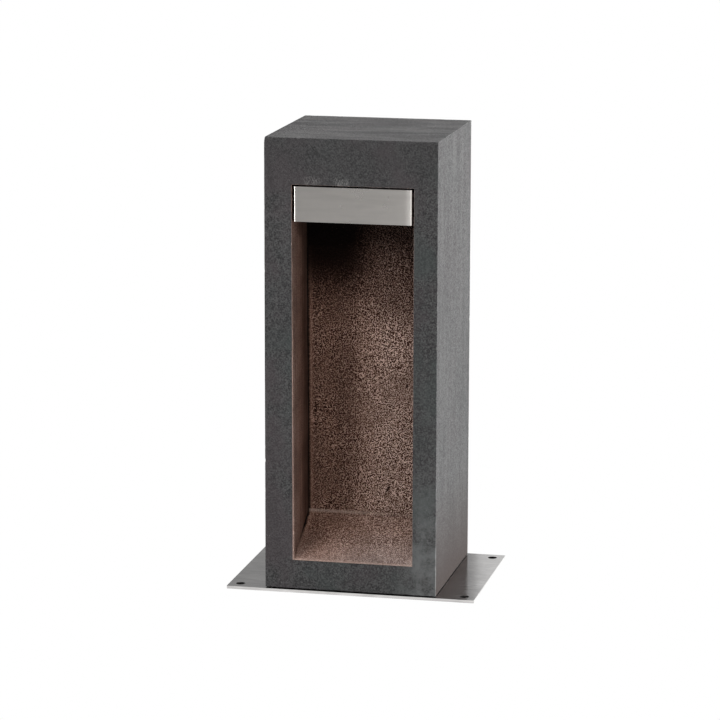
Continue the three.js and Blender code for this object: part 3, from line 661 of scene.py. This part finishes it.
def add_niche(shell):
    """The niche's walls, floor, roof and back, fine where they show and coarse behind the lamp head."""
    front = STONE_LOW[1]
    near = rising(front, NEAR_MOUTH)
    deep = steps(front + EDGE_BAND, NICHE_BACK, DEPTH_STEP)
    deep_hidden = steps(front + EDGE_BAND, NICHE_BACK, HIDDEN_STEP)
    xs = steps(*MOUTH_X, NICHE_STEP)
    xs_hidden = steps(*MOUTH_X, HIDDEN_STEP)
    low_zs = steps(MOUTH_Z[0], HIDDEN_FROM, NICHE_STEP)
    high_zs = steps(HIDDEN_FROM, MOUTH_Z[1], NICHE_STEP)
    high_zs_hidden = steps(HIDDEN_FROM, MOUTH_Z[1], HIDDEN_STEP)
    for level, sign in zip(MOUTH_X, (1, -1)):
        shell.grid(0, level, near, low_zs, sign, True)
        shell.grid(0, level, near, high_zs, sign, True)
        shell.grid(0, level, deep, low_zs, sign, True)
        shell.grid(0, level, deep_hidden, high_zs_hidden, sign, True)
    shell.grid(2, MOUTH_Z[0], xs, near, 1, True)
    shell.grid(2, MOUTH_Z[0], xs, deep, 1, True)
    shell.grid(2, MOUTH_Z[1], xs, near, -1, True)
    shell.grid(2, MOUTH_Z[1], xs_hidden, deep_hidden, -1, True)
    shell.grid(1, NICHE_BACK, xs, low_zs, -1, True)
    shell.grid(1, NICHE_BACK, xs_hidden, high_zs_hidden, -1, True)


def round_arrises(places):
    """Pulls the points near the block's outer edges onto a radius."""
    inner = np.clip(places, STONE_LOW + ARRIS, STONE_HIGH - ARRIS)
    away = places - inner
    length = np.linalg.norm(away, axis=1)
    outside = length > SAME
    places[outside] = inner[outside] + away[outside] * (ARRIS / length[outside])[:, None]


def round_mouth(places, in_niche, on_front):
    """Rounds the niche's mouth: its walls flare out, and the front face falls in, within MOUTH_EDGE."""
    flat = places.copy()
    radius = MOUTH_EDGE

    def along(distance):
        return radius - radius * (radius - distance) / np.hypot(radius, radius - distance)

    def across(distance):
        return radius - radius * radius / np.hypot(radius, radius - distance)

    depth = flat[:, 1] - STONE_LOW[1]
    walls = in_niche & (depth < radius)
    places[walls, 1] = STONE_LOW[1] + along(depth[walls])
    for axis, limits in ((0, MOUTH_X), (2, MOUTH_Z)):
        for limit, sign in zip(limits, (-1, 1)):
            wall = walls & (np.abs(flat[:, axis] - limit) < SAME)
            places[wall, axis] += sign * across(depth[wall])
    beside = np.maximum(MOUTH_X[0] - flat[:, 0], flat[:, 0] - MOUTH_X[1])
    above = np.maximum(MOUTH_Z[0] - flat[:, 2], flat[:, 2] - MOUTH_Z[1])
    outward = np.stack([np.maximum(beside, 0), np.maximum(above, 0)], 1)
    distance = np.linalg.norm(outward, axis=1)
    face = on_front & ~in_niche & (distance < radius)
    places[face, 1] += across(distance[face])
    centre = np.array([sum(MOUTH_X) / 2, sum(MOUTH_Z) / 2])
    way = np.sign(flat[:, [0, 2]] - centre) * outward / np.maximum(distance, 1e-9)[:, None]
    move = (along(distance) - distance)[:, None] * way
    places[face, 0] += move[face, 0]
    places[face, 2] += move[face, 1]


def raise_floor(places, in_niche):
    """Tilts the niche's floor up towards the back, and squeezes the walls above it to suit."""
    depth = np.clip((places[:, 1] - STONE_LOW[1]) / NICHE_DEPTH, 0, 1)
    share = np.clip((MOUTH_Z[1] - places[:, 2]) / (MOUTH_Z[1] - MOUTH_Z[0]), 0, 1)
    places[in_niche, 2] += (FLOOR_RISE * depth * share)[in_niche]


def lean_at(places):
    """How far the niche's left wall stands in at this height."""
    share = np.clip((HIDDEN_FROM - places[:, 2]) / (HIDDEN_FROM - MOUTH_Z[0]), 0, 1)
    return WALL_LEAN * share


def lean_wall(places, in_niche):
    """Leans the niche's left wall in towards the floor, and squeezes the niche beside it to suit."""
    share = (MOUTH_X[1] - places[:, 0]) / (MOUTH_X[1] - MOUTH_X[0])
    places[in_niche, 0] += (lean_at(places) * share)[in_niche]


def soft(value, low, high):
    """0 below low, 1 above high, and smooth between."""
    share = np.clip((value - low) / (high - low), 0, 1)
    return share * share * (3 - 2 * share)


def sampled(places, size, seed=0):
    """Noise from -1 to 1 at these places, with lumps of about this size."""
    shifted = places / size + np.array((17.3, 5.1, 29.7)) * seed
    value = noise.noise
    return np.array([value(p) for p in shifted.tolist()])


def grains(places, size, seed=0):
    """Cells of about this size: distance to the nearest centre, to the next one, and a value for each cell."""
    shifted = places / size + np.array((11.7, 31.3, 7.9)) * seed
    found = np.empty((len(places), 3))
    cells, value = noise.voronoi, noise.cell
    for row, p in enumerate(shifted.tolist()):
        distances, centres = cells(p)
        found[row] = distances[0], distances[1], value(centres[0] * 53.7)
    return found[:, 0], found[:, 1], found[:, 2]


# Marks on the niche's back wall: start (X, Z), end, half width and depth.
MARKS = [
    ((21.9, 83.4), (20.3, 79.6), 0.8, 1.0),
    ((19.2, 77.4), (17.6, 74.0), 0.55, 0.7),
    ((37.4, 173.8), (37.1, 172.4), 1.0, 0.9),
]


def mark_depth(places):
    """Depth of the tool marks on the niche's back wall."""
    spots = places[:, [0, 2]]
    near_wall = np.abs(places[:, 1] - NICHE_BACK) < 2
    total = np.zeros(len(places))
    for start, end, width, depth in MARKS:
        start, end = np.array(start), np.array(end)
        share = np.clip(((spots - start) @ (end - start)) / ((end - start) @ (end - start)), 0, 1)
        gap = np.linalg.norm(spots - (start + share[:, None] * (end - start)), axis=1)
        total = np.maximum(total, depth * np.clip(1.3 - gap / width, 0, 1))
    return total * near_wall


def floor_height(places):
    """Height of the niche's floor at these places."""
    return MOUTH_Z[0] + FLOOR_RISE * (places[:, 1] - STONE_LOW[1]) / NICHE_DEPTH


def coarseness(places):
    """How coarse the niche is: most on the back wall, less on the floor, least on the side walls."""
    back = soft(places[:, 1], NICHE_BACK - 3, NICHE_BACK - 1)
    floor = 1 - soft(places[:, 2] - floor_height(places), 1, 3)
    floor *= 0.65 + 0.35 * soft(places[:, 1] - STONE_LOW[1], 4, 30)
    to_side = np.minimum(places[:, 0] - MOUTH_X[0] - lean_at(places), MOUTH_X[1] - places[:, 0])
    open_area = soft(to_side, 2, 7)
    rough = np.maximum(back * (0.4 + 0.6 * open_area), 0.66 * floor * (0.6 + 0.4 * open_area))
    return np.minimum(rough + 0.22, 1.12) + 0.2 * (1 - soft(rough, 0, 0.3))


def rough_niche(places, coarse):
    """Height of the hewn surface in millimetres, and its level from 0 (pit) to 1 (crystal)."""
    near, next_near, value = grains(places, 2.0, 1)
    ridge = soft(next_near - near, 0.02, 0.5)
    lumps = sampled(places, 1.5, 4)
    level = np.clip(0.42 + 0.3 * ridge * (value - 0.2) + 0.55 * lumps, 0, 1)
    tooling = sampled(places * (0, 1, 0.06), 3.5, 7)
    broad = 0.3 * sampled(places, 26, 5) + 0.18 * sampled(places, 9, 6)
    height = coarse * (level - 0.6) + broad + 0.16 * (1 - coarse) * tooling
    return height, level


def weather(places, normals, in_niche, on_mouth):
    """Moves the points in or out along their normals; returns the surface attribute's values.

    These are, for each point: whether it is hewn, how coarse, how worn, and the relief's level.
    """
    surface = np.zeros((len(places), 4))
    surface[:, 0] = in_niche
    depth = places[:, 1] - STONE_LOW[1]

    # The hewn relief and the tool marks, paler along the far creases, and wear on the sill and the rim.
    inside = np.flatnonzero(in_niche)
    spots = places[inside]
    coarse = coarseness(spots)
    height, level = rough_niche(spots, coarse)
    marks = mark_depth(spots)
    visible = 1 - soft(spots[:, 2], HIDDEN_FROM - 2, HIDDEN_FROM)
    calm = visible * np.maximum(soft(depth[inside], 0, 2.2), 0.12)
    places[inside] += normals[inside] * (height * calm - marks)[:, None]
    surface[inside, 1] = coarse
    # Painted shade in the tool marks: their level falls towards the pits.
    surface[inside, 3] = level * (1 - 0.9 * soft(marks, 0, 0.6))
    crease = np.maximum(NICHE_BACK - spots[:, 1], np.abs(spots[:, 2] - floor_height(spots)))
    crease_pale = (1 - soft(crease, 0.7, 2.4)) * (1 - 0.6 * soft(spots[:, 0], -35, 35))
    sill_wear = (1 - soft(depth[inside], 0.8, 3.5)) * (1 - soft(spots[:, 2] - floor_height(spots), 0.5, 2))
    rim_wear = 1 - soft(depth[inside], 0.4, 1.4)
    surface[inside, 2] = np.maximum(0.6 * crease_pale, np.maximum(0.5 * sill_wear, 0.22 * rim_wear))

    # Chips and wear along the outer arrises.
    sides = np.sort(np.minimum(places - STONE_LOW, STONE_HIGH - places), axis=1)
    to_arris = np.maximum(sides[:, 1], 0)
    edge = np.flatnonzero((to_arris < EDGE_BAND + 0.1) & ~in_niche)
    spots = places[edge]
    closeness = 1 - soft(to_arris[edge], 0.2, 1.3)
    chips = soft(sampled(spots, 2.6, 11), 0.3, 0.65) * soft(sampled(spots, 21, 12), -0.1, 0.35)
    scuff = 0.5 + 0.5 * sampled(spots, 7, 13)
    broken = 1 - soft(np.linalg.norm(spots - BROKEN_CORNER, axis=1), 0.5, BROKEN_REACH)
    loss = closeness * (CHIP_DEPTH * chips + SCUFF_DEPTH * scuff) + BROKEN_DEPTH * broken
    places[edge] -= normals[edge] * loss[:, None]
    surface[edge, 2] = closeness * np.clip(0.16 * scuff + 0.7 * chips, 0, 1)

    # Nicks round the mouth.
    rim = np.flatnonzero(on_mouth)
    spots = places[rim]
    nicks = soft(sampled(spots, 2.6, 21), 0.3, 0.7)
    places[rim] -= normals[rim] * (NICK_DEPTH * nicks)[:, None]
    surface[rim, 2] = 0.25 + 0.3 * nicks
    return surface


def painted_shade(places, in_niche):
    """Painted shade in the niche: on its floor, on an upright band of the back wall, in the far corners and at
    the top.
    """
    rise = places[:, 2] - floor_height(places)
    depth = places[:, 1] - STONE_LOW[1]
    from_right = MOUTH_X[1] - places[:, 0]
    from_left = places[:, 0] - MOUTH_X[0] - lean_at(places)

    # An upright darker band left of the middle, and painted shade on the back wall, darker to the left, where
    # the left wall would shadow it.
    wander = 4 * sampled(places * (0, 0, 1), 40, 41) + 3 * sampled(places, 9, 42)
    band = 0.1 * (1 - soft(np.abs(places[:, 0] + 15 + wander), 4, 15)) * soft(rise, 2, 30)
    band *= 1 - soft(places[:, 2], HIDDEN_FROM - 130, HIDDEN_FROM - 70)
    back = (0.1 + 0.24 * soft(from_right, 40, 75)) * soft(depth, NICHE_DEPTH - 4, NICHE_DEPTH - 1)

    # Painted shade on the floor, and on the side walls towards the back.
    floor = (0.36 + 0.03 * soft(depth, 12, NICHE_DEPTH)) * (1 - soft(rise, 1, 4))
    walls = 1 - soft(np.minimum(from_left, from_right), 0.6, 1.6)
    corner = 0.8 * walls * soft(depth, 10, 50)

    # Painted shadow of the lamp head on the top of the niche, most at the left and the back, and painted shade
    # in the gap round the lamp head.
    below = places[:, 2] - HIDDEN_FROM
    left = soft(from_right, 34, 66)
    up_high = left * (0.64 * soft(below, -104, -38) + 0.05 * soft(below, -35, -25))
    up_high += (1 - left) * 0.44 * soft(below, -115, -75)
    high = soft(below, -36, -6)
    roof = up_high * soft((depth - 14 + 10 * high) / (42 - 16 * high), 0, 1)
    beside_head = 0.9 * soft(places[:, 2], HIDDEN_FROM - 5, HIDDEN_FROM) * soft(depth, 0.2, 1.5)

    # Painted shade in the tool marks too.
    marks = 1.1 * mark_depth(places)
    total = np.maximum(floor, band + back) + np.maximum(corner, roof) + beside_head + marks
    return np.clip(total, 0, 1) * in_niche


# The room inside the block, in metres.
BORE_RADIUS = 8 * MM
POCKET_CLEARANCE = 2 * MM
POCKET_ABOVE_NUT = 14 * MM
CROSS_BORE_DROP = 5 * MM
PLUG_CLEARANCE = 0.3 * MM


def turned_tool(name, radius, low, high, axis="Z"):
    """A round cutter along this axis, from one point to another (metres)."""
    bm = bmesh.new()
    length = (high - low).length
    bmesh.ops.create_cone(bm, cap_ends=True, segments=32, radius1=radius, radius2=radius, depth=length)
    if axis == "Y":
        bmesh.ops.rotate(bm, verts=bm.verts, cent=(0, 0, 0), matrix=Matrix.Rotation(math.pi / 2, 3, "X"))
    bmesh.ops.translate(bm, verts=bm.verts, vec=(low + high) / 2)
    mesh = bpy.data.meshes.new(name)
    bm.to_mesh(mesh)
    bm.free()
    return into_scene(name, mesh)


def bore_tools():
    """Cutters for the pocket, the bores of the lead, the anchors and the plugs."""
    nut_low, nut_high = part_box("connector_nut_upper")
    entry_low, entry_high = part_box("head_grommet")
    cross_z = (entry_low.z + entry_high.z) / 2 - CROSS_BORE_DROP

    def on_axis(z):
        return Vector(((nut_low.x + nut_high.x) / 2, (nut_low.y + nut_high.y) / 2, z))

    bottom = on_axis(STONE_LOW[2] * MM - 1 * MM)
    corner = on_axis(cross_z)
    niche_end = Vector((corner.x, NICHE_BACK * MM - 5 * MM, cross_z))
    pocket_radius = (nut_high.x - nut_low.x) / 2 + POCKET_CLEARANCE
    tools = [
        turned_tool("cut_pocket", pocket_radius, bottom, on_axis(nut_high.z + POCKET_ABOVE_NUT)),
        turned_tool("cut_bore", BORE_RADIUS, bottom, corner),
        turned_tool("cut_cross_bore", BORE_RADIUS, niche_end, corner, "Y"),
    ]
    for node in [f"stone_anchor_{n}" for n in range(1, 5)] + ["wall_plug_left", "wall_plug_right"]:
        low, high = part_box(node)
        x, y, _ = (low + high) / 2
        radius = (high.x - low.x) / 2 + PLUG_CLEARANCE
        below, above = Vector((x, y, low.z - 1 * MM)), Vector((x, y, high.z + 3 * MM))
        tools.append(turned_tool("cut_" + node, radius, below, above))
    return tools


def make_stone():
    shell = Shell()
    for axis, sign in ((0, -1), (0, 1), (1, 1), (2, -1), (2, 1)):
        add_outer_face(shell, axis, sign)
    add_front_face(shell)
    add_niche(shell)
    faces = shell.faces()
    places = shell.places()
    hewn = np.array(shell.hewn)
    fixed = np.array(shell.fixed)
    in_niche = hewn[:, 1]
    on_mouth = hewn[:, 0] & hewn[:, 1]
    on_front = hewn[:, 0] & (np.abs(places[:, 1] - STONE_LOW[1]) < SAME)

    # The grid lines of the niche wander a little, so that its grain shows no rows.
    wander = np.stack([sampled(places, 1.3, seed) for seed in (31, 32, 33)], 1)
    loose = ~fixed & in_niche[:, None] & (places[:, 2] < HIDDEN_FROM - 1)[:, None]
    loose &= (places[:, 1] > STONE_LOW[1] + EDGE_BAND)[:, None]
    jitter = np.where(loose, GRID_WANDER * wander, 0)

    round_mouth(places, in_niche, on_front)
    round_arrises(places)
    places += jitter
    lean_wall(places, in_niche)
    raise_floor(places, in_niche)

    mesh = bpy.data.meshes.new("stone_body_hewn")
    mesh.from_pydata((places * MM).tolist(), [], faces)
    mesh.update()
    normals = np.zeros(len(places) * 3)
    mesh.vertex_normals.foreach_get("vector", normals)
    surface = weather(places, normals.reshape(-1, 3), in_niche, on_mouth)
    # The niche's painted shade, kept as a point attribute.
    painted_shade_layer = mesh.attributes.new("painted_shade", "FLOAT", "POINT")
    painted_shade_layer.data.foreach_set("value", painted_shade(places, in_niche))
    mesh.vertices.foreach_set("co", (places * MM).ravel())
    attribute = mesh.attributes.new("surface", "FLOAT_COLOR", "POINT")
    attribute.data.foreach_set("color", surface.ravel())
    smooth_by_angle(mesh, 50)
    mesh.update()

    raw = into_scene("stone_raw", mesh)
    tools = bore_tools()
    for tool in tools:
        cut = raw.modifiers.new(tool.name, "BOOLEAN")
        cut.object = tool
        cut.solver = "MANIFOLD"
        cut.operation = "DIFFERENCE"
    stone = evaluated_mesh(raw)
    stone.name = "block_of_stone"
    for helper in tools + [raw]:
        bpy.data.objects.remove(helper)
    add_piece("block_of_stone", stone, "stone", "stone_body")


make_stone()

# ---------------------------------------------------------------- pieces with softened edges

# How many cuts let the front sheet bend, and how far behind the front it is still taken for the sheet.
FALL_CUTS = 6
FRONT_SHEET = 4 * MM
# Edges that turn by more than this are rounded (degrees).
SHARP = 35


def fall_back(bm, reach, drop):
    """Lets the front sheet fall back a little towards its right fold, most at the top."""
    right = max(v.co.x for v in bm.verts)
    front = min(v.co.y for v in bm.verts)
    low, high = (pick(v.co.z for v in bm.verts) for pick in (min, max))
    for distance in np.linspace(2 * MM, reach, FALL_CUTS):
        everything = bm.verts[:] + bm.edges[:] + bm.faces[:]
        bmesh.ops.bisect_plane(bm, geom=everything, plane_co=(right - distance, 0, 0), plane_no=(1, 0, 0))
    for vert in bm.verts:
        share = max(0, (vert.co.x - right + reach) / reach)
        if vert.co.y < front + FRONT_SHEET:
            vert.co.y += drop * share ** 2 * (0.4 + 0.6 * (vert.co.z - low) / (high - low))

    # The cuts leave the faces in another order each run, so they are put in order of their vertices.
    bm.verts.index_update()
    for number, face in enumerate(sorted(bm.faces, key=lambda f: sorted(v.index for v in f.verts))):
        face.index = number
    bm.faces.sort()


def softened(node, slot, edge, fall=None):
    """A copy of a CAD node's shape with its sharp edges rounded, and with UVs that follow the brushing."""
    bm = bmesh.new()
    bm.from_mesh(frame["nodes"][node].data)
    bmesh.ops.remove_doubles(bm, verts=bm.verts, dist=1e-6)
    bmesh.ops.dissolve_limit(bm, angle_limit=math.radians(0.5), verts=bm.verts, edges=bm.edges)
    sharp = [e for e in bm.edges if len(e.link_faces) == 2 and e.calc_face_angle(0) > math.radians(SHARP)]
    bmesh.ops.bevel(bm, geom=sharp, offset=edge, segments=2, profile=0.5, affect="EDGES", clamp_overlap=True)
    if fall:
        fall_back(bm, *fall)
    grain = bm.loops.layers.uv.new("grain")
    for face in bm.faces:
        normal = face.normal
        for loop in face.loops:
            x, y, z = loop.vert.co
            if abs(normal.z) > 0.7:
                loop[grain].uv = (y, x)
            else:
                loop[grain].uv = (z, x if abs(normal.y) > abs(normal.x) else y)
    mesh = bpy.data.meshes.new(node + "_softened")
    bm.to_mesh(mesh)
    bm.free()
    smooth_by_angle(mesh, 40)
    piece = add_piece(node + "_finished", mesh, slot, node)
    flat = piece.modifiers.new("flat faces", "WEIGHTED_NORMAL")
    flat.keep_sharp = True


softened("base_plate", "plate_steel", 0.25 * MM)
softened("head_housing", "head_steel", 0.25 * MM, fall=(7 * MM, 0.35 * MM))
softened("lens_frame", "head_steel", 0.2 * MM)
softened("base_gasket", "base_rubber", 0.15 * MM)

# ---------------------------------------------------------------- carried-over CAD nodes

for subpart in frame["record"]["subparts"]:
    node = frame["nodes"][subpart["node"]]
    if not node.hide_render:
        node.data.materials.clear()
        node.data.materials.append(MATERIALS[subpart["material_slot"]])

# ---------------------------------------------------------------- studio

REFLECTED_ROOM = 0.43
REFLECTED_FLOOR = 1.6
REFLECTED_SHADE = 0.02
LAMPS_AIM = Vector((0, 0, 0.22))
# Name, azimuth and elevation, distance, size, level, and whether it is seen in reflections.
LAMPS = [
    ("key_right", 95, 20, 1.5, 0.5, 3.95, True),
    ("front_left", -45, 36, 3.2, 1.9, 1.13, False),
    ("front", 13, 34, 3.2, 1.9, 0.72, False),
    ("top", 180, 80, 2.0, 0.6, 0.72, False),
]
# Name, centre, width, height and level.
CARDS = [
    ("card_left", (-1.2, -0.25, 0.35), 0.9, 0.9, 9.0),
    ("card_front", (0.45, -1.45, 0.05), 1.3, 0.7, 1.6),
    ("card_right", (1.15, -0.75, 0.3), 0.9, 0.8, 2.0),
    ("card_behind", (0.28, 0.78, 0.2), 0.74, 0.5, 1.0),
]


def white_glow(name, strength):
    """A material that glows evenly white."""
    material = bpy.data.materials.new(name)
    material.use_nodes = True
    nodes = material.node_tree.nodes
    nodes.clear()
    glow = nodes.new("ShaderNodeEmission")
    glow.inputs["Color"].default_value = (1, 1, 1, 1)
    glow.inputs["Strength"].default_value = strength
    output = nodes.new("ShaderNodeOutputMaterial")
    material.node_tree.links.new(glow.outputs[0], output.inputs["Surface"])
    return material


def staged(mesh, material, **seen_by):
    """A thing of the studio, which throws no shadow. seen_by names the kinds of ray that see it."""
    mesh.materials.append(material)
    thing = into_scene(mesh.name, mesh)
    for kind in ("camera", "diffuse", "glossy", "transmission"):
        setattr(thing, "visible_" + kind, seen_by.get(kind, False))
    thing.visible_shadow = False
    return thing


def flat_mesh(name, points, faces=((0, 1, 2, 3),)):
    mesh = bpy.data.meshes.new(name)
    mesh.from_pydata(points, [], faces)
    return mesh


def level_mesh(name, width, depth, z):
    """A rectangle round the origin, at this height."""
    x, y = width / 2, depth / 2
    return flat_mesh(name, [(-x, -y, z), (x, -y, z), (x, y, z), (-x, y, z)])


def ring_mesh(name, reach, z):
    """The floor round the plate, but not below it."""
    low, high = CAD_BOUNDS
    outer = [(-reach, -reach), (reach, -reach), (reach, reach), (-reach, reach)]
    inner = [(low.x, low.y), (high.x, low.y), (high.x, high.y), (low.x, high.y)]
    faces = [(n, (n + 1) % 4, (n + 1) % 4 + 4, n + 4) for n in range(4)]
    return flat_mesh(name, [(x, y, z) for x, y in outer + inner], faces)


def sphere_mesh(name, radius):
    """A large sphere round the object, seen from inside."""
    bm = bmesh.new()
    bmesh.ops.create_uvsphere(bm, u_segments=48, v_segments=24, radius=radius)
    mesh = bpy.data.meshes.new(name)
    bm.to_mesh(mesh)
    bm.free()
    return mesh


def card(name, centre, width, height, level):
    """An upright glowing card that faces the block and is only seen in reflections."""
    x, z = width / 2, height / 2
    mesh = flat_mesh(name, [(-x, 0, -z), (x, 0, -z), (x, 0, z), (-x, 0, z)])
    thing = staged(mesh, white_glow(name, level), glossy=True)
    thing.location = centre
    thing.rotation_euler = (0, 0, math.atan2(-centre[0], centre[1]))


def softbox(name, azimuth, elevation, distance, size, level, reflected):
    """A square lamp that shines at the block's middle from this azimuth and elevation (degrees).

    The azimuth is 0 in front of the niche and grows to the right. The level is the light that
    falls on a surface square to it, so it doesn't change with the distance.
    """
    a, e = math.radians(azimuth), math.radians(elevation)
    way = Vector((math.sin(a) * math.cos(e), -math.cos(a) * math.cos(e), math.sin(e)))
    data = bpy.data.lights.new(name, "AREA")
    data.shape = "SQUARE"
    data.size = size
    data.energy = level * math.pi ** 2 * distance ** 2
    lamp = into_scene(name, data)
    lamp.location = LAMPS_AIM + way * distance
    lamp.rotation_mode = "QUATERNION"
    lamp.rotation_quaternion = (-way).to_track_quat("-Z", "Y")
    lamp.visible_camera = False
    lamp.visible_glossy = reflected


def dark_floor():
    """Grey floor that gives back a little light to the object."""
    g = Graph("floor_grey")
    g.set(Base_Color=g.mix(g.noise(0.4), (0.07, 0.07, 0.07), (0.09, 0.09, 0.09)), Roughness=0.9)
    return g.material


def make_studio():
    """What the camera sees, what the steel mirrors and what the floor gives back are separate things."""
    low, high = CAD_BOUNDS
    seen = {"camera": True, "transmission": True}
    staged(level_mesh("floor_seen", 60, 60, -0.2 * MM), white_glow("floor_white", 1.0), **seen)
    staged(sphere_mesh("backdrop", 15), white_glow("backdrop_white", 1.0), **seen)
    staged(sphere_mesh("room_in_reflections", 14), white_glow("room_grey", REFLECTED_ROOM), glossy=True)
    near_floor = ring_mesh("floor_in_reflections", 0.6, -0.3 * MM)
    staged(near_floor, white_glow("floor_glow", REFLECTED_FLOOR), glossy=True)
    shade = level_mesh("shade_below_plate", high.x - low.x, high.y - low.y, -0.35 * MM)
    staged(shade, white_glow("shade_black", REFLECTED_SHADE), glossy=True)
    staged(level_mesh("floor_bounce", 8, 8, -1 * MM), dark_floor(), diffuse=True)
    for lamp in LAMPS:
        softbox(*lamp)
    for each in CARDS:
        card(*each)

    # The world gives no light of its own.
    world = bpy.data.worlds.new("world")
    world.use_nodes = True
    background = world.node_tree.nodes["Background"]
    background.inputs["Color"].default_value = (1, 1, 1, 1)
    background.inputs["Strength"].default_value = 0.0
    bpy.context.scene.world = world
    bpy.context.scene.view_settings.view_transform = "Standard"


make_studio()
